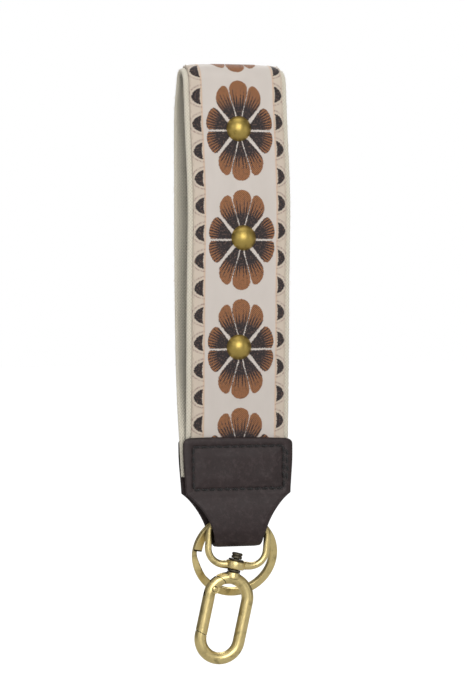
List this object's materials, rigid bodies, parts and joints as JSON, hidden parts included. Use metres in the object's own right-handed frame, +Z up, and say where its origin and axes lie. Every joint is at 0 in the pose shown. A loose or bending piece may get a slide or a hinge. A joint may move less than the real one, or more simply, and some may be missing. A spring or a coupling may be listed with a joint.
{
  "type": "wristlet key strap",
  "caption": "Wrist loop of jacquard webbing with domed studs, closed by a stitched leather chape that holds a split ring and a swivel clasp with a sprung gate.",
  "frame": {"origin": "inside of the wrist loop's fold, at the top, where the strap hangs from a wrist or a peg", "axes": "+Z up along the hanging strap, +X to the right seen from the front, the printed front facing -Y"},
  "size_m": [0.0392, 0.0226, 0.219],
  "materials": {
    "webbing": "thick plain-woven cream cotton, fuzzy at the edges",
    "ribbon": "fine jacquard satin, woven with copper and near-black flowers and a scalloped border",
    "leather": "matte dark brown with a fine grain and painted black edges",
    "thread": "waxed dark brown sewing thread",
    "stud_brass": "satin golden antique brass",
    "antique_brass": "brushed pale antique brass, darker in the recesses",
    "dark_brass": "blackened antique brass",
    "spring_steel": "drawn spring wire"
  },
  "bodies": {
    "strap": {"strap_webbing": "webbing", "jacquard_ribbon": "ribbon", "stud_cap_front_1": "stud_brass", "stud_cap_front_2": "stud_brass", "stud_cap_front_3": "stud_brass", "stud_cap_back_1": "stud_brass", "stud_cap_back_2": "stud_brass", "stud_cap_back_3": "stud_brass", "stud_cap_back_4": "stud_brass", "stud_base_front_1": "stud_brass", "stud_base_front_2": "stud_brass", "stud_base_front_3": "stud_brass", "stud_base_back_1": "stud_brass", "stud_base_back_2": "stud_brass", "stud_base_back_3": "stud_brass", "stud_base_back_4": "stud_brass", "leather_chape": "leather", "chape_stitching_front": "thread", "chape_stitching_back": "thread"},
    "ring": {"key_ring": "antique_brass"},
    "eye": {"swivel_eye": "antique_brass"},
    "hook": {"hook_body": "antique_brass", "gate_pin": "antique_brass", "swivel_pin": "dark_brass", "swivel_washer": "dark_brass", "swivel_collar": "dark_brass"},
    "gate": {"hook_gate": "antique_brass", "gate_spring": "spring_steel", "gate_plunger": "spring_steel"}
  },
  "joints": [
    {"name": "ring_swing", "type": "hinge", "parent": "strap", "child": "ring", "pos_m": [0, 0.0022, -0.165], "axis": [1, 0, 0], "range_deg": [-6, 3]},
    {"name": "eye_swing", "type": "hinge", "parent": "ring", "child": "eye", "pos_m": [0, -0.0016, -0.166], "axis": [1, 0, 0], "range_deg": [-6, 0]},
    {"name": "hook_swivel", "type": "hinge", "parent": "eye", "child": "hook", "pos_m": [-0.0034, -0.0016, -0.1923], "axis": [0.225, 0, 0.9744], "continuous": true},
    {"name": "gate_hinge", "type": "hinge", "parent": "hook", "child": "gate", "pos_m": [-0.00885, -0.0016, -0.18878], "axis": [0, -1, 0], "range_deg": [0, 30], "stiffness_Nm_per_rad": 0.02, "springref_deg": -14.32}
  ]
}
